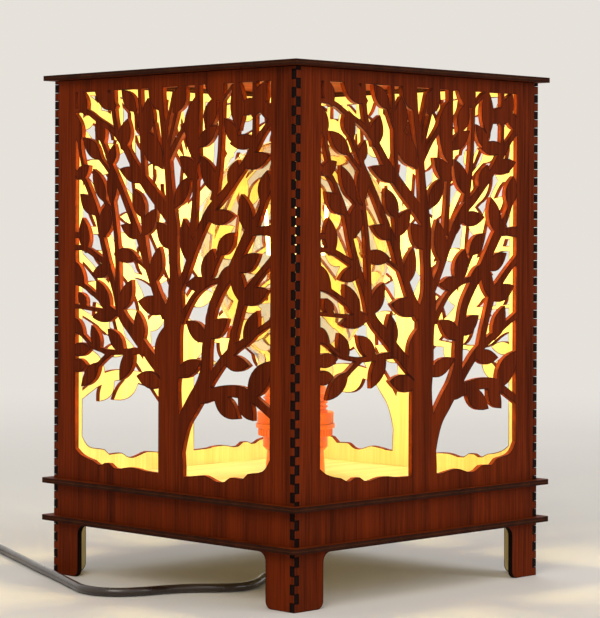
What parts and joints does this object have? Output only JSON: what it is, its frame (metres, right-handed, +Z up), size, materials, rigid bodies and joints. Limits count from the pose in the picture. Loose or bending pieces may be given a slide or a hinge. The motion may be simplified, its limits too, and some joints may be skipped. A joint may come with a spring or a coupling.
{
  "type": "table lantern lamp",
  "caption": "Square plywood lantern lamp with a tree cut through each side, a lift-off lid, a clear globe bulb in a screw holder and a corded rocker switch.",
  "frame": {"origin": "centre of the square on which the four corner feet stand, at the table's surface", "axes": "+Z up along the bulb's axis; the front panel faces -Y and the left panel, under which the cord leaves, faces -X"},
  "size_m": [0.2943, 0.5071, 0.3003],
  "materials": {
    "stained_plywood": "stained plywood, laser-burnt edges",
    "plain_plywood": "raw plywood",
    "brown_thermoplastic": "satin",
    "white_ceramic": "glazed ceramic",
    "contact_brass": "plain",
    "zinc_steel": "zinc plated",
    "cap_metal": "nickel plated",
    "black_glass_insulator": "vitreous",
    "clear_glass": "clear",
    "support_wire": "drawn wire",
    "led_filament": "phosphor coated, lit",
    "dark_flex": "smooth sheath",
    "brown_core": "insulated core",
    "blue_core": "insulated core",
    "switch_plastic": "satin",
    "pin_metal": "nickel plated"
  },
  "bodies": {
    "lantern": {"front_panel": "stained_plywood", "right_panel": "stained_plywood", "back_panel": "stained_plywood", "left_panel": "stained_plywood", "upper_ledge": "stained_plywood", "lower_ledge": "stained_plywood", "floor_plate": "plain_plywood", "holder_cap": "brown_thermoplastic", "holder_sleeve": "brown_thermoplastic", "shade_ring": "brown_thermoplastic", "strain_relief": "brown_thermoplastic", "holder_insert": "white_ceramic", "centre_contact": "contact_brass", "side_contact": "contact_brass", "terminal_screw_live": "contact_brass", "terminal_screw_neutral": "contact_brass", "threaded_nipple": "zinc_steel", "nipple_washer": "zinc_steel", "nipple_nut_upper": "zinc_steel", "nipple_nut_lower": "zinc_steel", "supply_cord": "dark_flex", "cord_to_coil": "dark_flex", "cord_coil": "dark_flex", "cord_to_plug": "dark_flex", "lead_wire_live": "brown_core", "lead_wire_neutral": "blue_core", "switch_lower_shell": "switch_plastic", "switch_upper_shell": "switch_plastic", "plug_body": "switch_plastic", "plug_pin_live": "pin_metal", "plug_pin_neutral": "pin_metal"},
    "lid": {"lid_plate": "stained_plywood", "lid_locating_frame": "plain_plywood"},
    "bulb_foot": {"bulb_contact": "cap_metal", "bulb_insulator": "black_glass_insulator"},
    "bulb": {"bulb_cap": "cap_metal", "bulb_glass": "clear_glass", "bulb_stem": "clear_glass", "filament_supports": "support_wire", "bulb_filament_1": "led_filament", "bulb_filament_2": "led_filament", "bulb_filament_3": "led_filament", "bulb_filament_4": "led_filament"},
    "switch_rocker": {"switch_rocker": "switch_plastic"}
  },
  "joints": [
    {"name": "lid_lift", "type": "slide", "parent": "lantern", "child": "lid", "axis": [0, 0, 1], "range_m": [0, 0.18]},
    {"name": "bulb_rise", "type": "slide", "parent": "lantern", "child": "bulb_foot", "axis": [0, 0, 1], "range_m": [0, 0.024]},
    {"name": "bulb_turn", "type": "hinge", "parent": "bulb_foot", "child": "bulb", "pos_m": [0, 0, 0.1], "axis": [0, 0, 1], "range_deg": [0, 2380]},
    {"name": "rocker_tilt", "type": "hinge", "parent": "lantern", "child": "switch_rocker", "pos_m": [-0.1231, 0.2831, 0.0118], "axis": [0.7071, 0.7071, 0], "range_deg": [0, 16]}
  ],
  "couplings": [
    {"joint": "bulb_rise", "follows": "bulb_turn", "m_per_rad": 0.000576}
  ]
}
